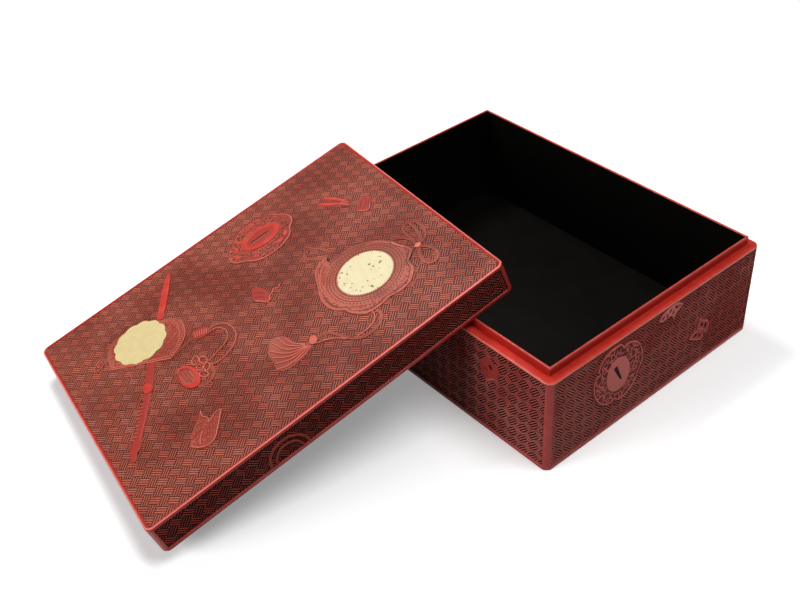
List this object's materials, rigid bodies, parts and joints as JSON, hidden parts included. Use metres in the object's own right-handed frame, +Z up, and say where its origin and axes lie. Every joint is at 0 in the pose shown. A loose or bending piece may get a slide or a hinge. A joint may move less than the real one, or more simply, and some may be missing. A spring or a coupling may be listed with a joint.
{
  "type": "carved lacquer document box",
  "caption": "Oblong carved red lacquer box with a plain raised neck, and its shallow lift-off lid leaning on the open base.",
  "frame": {"origin": "centre of the base's flat underside, on the surface that the base stands on", "axes": "+Z up; +X along the base's long side, towards its right end; -Y towards its front side, where the lid leans"},
  "size_m": [0.4613, 0.6427, 0.1689],
  "materials": {
    "wood_core": "plain wood, hidden under lacquer",
    "black_lacquer": "wood under satin black lacquer",
    "carved_lacquer": "carved cinnabar lacquer, satin, darker in the cuts",
    "red_lacquer": "smooth bright red lacquer, worn paler on its edges",
    "red_lacquered_wood": "wood under red lacquer outside and black lacquer inside",
    "cream_inlay": "cream inlay with dark specks"
  },
  "bodies": {
    "base": {"underside_lacquer": "black_lacquer", "floor_board": "wood_core", "floor_lining": "black_lacquer", "front_wall_board": "wood_core", "right_wall_board": "wood_core", "back_wall_board": "wood_core", "left_wall_board": "wood_core", "front_carved_panel": "carved_lacquer", "right_carved_panel": "carved_lacquer", "back_carved_panel": "carved_lacquer", "left_carved_panel": "carved_lacquer", "front_foot_band": "red_lacquer", "right_foot_band": "red_lacquer", "back_foot_band": "red_lacquer", "left_foot_band": "red_lacquer", "front_ledge": "red_lacquer", "right_ledge": "red_lacquer", "back_ledge": "red_lacquer", "left_ledge": "red_lacquer", "front_neck": "red_lacquered_wood", "right_neck": "red_lacquered_wood", "back_neck": "red_lacquered_wood", "left_neck": "red_lacquered_wood", "corner_strip_front_right": "red_lacquer", "corner_strip_back_right": "red_lacquer", "corner_strip_back_left": "red_lacquer", "corner_strip_front_left": "red_lacquer"},
    "lid": {"lid_top_board": "black_lacquer", "lid_top_carving": "carved_lacquer", "lid_front_board": "black_lacquer", "lid_right_board": "black_lacquer", "lid_back_board": "black_lacquer", "lid_left_board": "black_lacquer", "lid_front_carved_panel": "carved_lacquer", "lid_right_carved_panel": "carved_lacquer", "lid_back_carved_panel": "carved_lacquer", "lid_left_carved_panel": "carved_lacquer", "lid_front_rim_band": "red_lacquer", "lid_right_rim_band": "red_lacquer", "lid_back_rim_band": "red_lacquer", "lid_left_rim_band": "red_lacquer", "lid_front_moulding": "red_lacquer", "lid_right_moulding": "red_lacquer", "lid_back_moulding": "red_lacquer", "lid_left_moulding": "red_lacquer", "lid_corner_strip_front_right": "red_lacquer", "lid_corner_strip_back_right": "red_lacquer", "lid_corner_strip_back_left": "red_lacquer", "lid_corner_strip_front_left": "red_lacquer", "mirror_inlay": "cream_inlay", "fan_inlay": "cream_inlay"}
  },
  "joints": [
    {"name": "lid_lift", "type": "slide", "parent": "base", "child": "lid", "axis": [0, 0, 1], "range_m": [0, 0.25]}
  ]
}
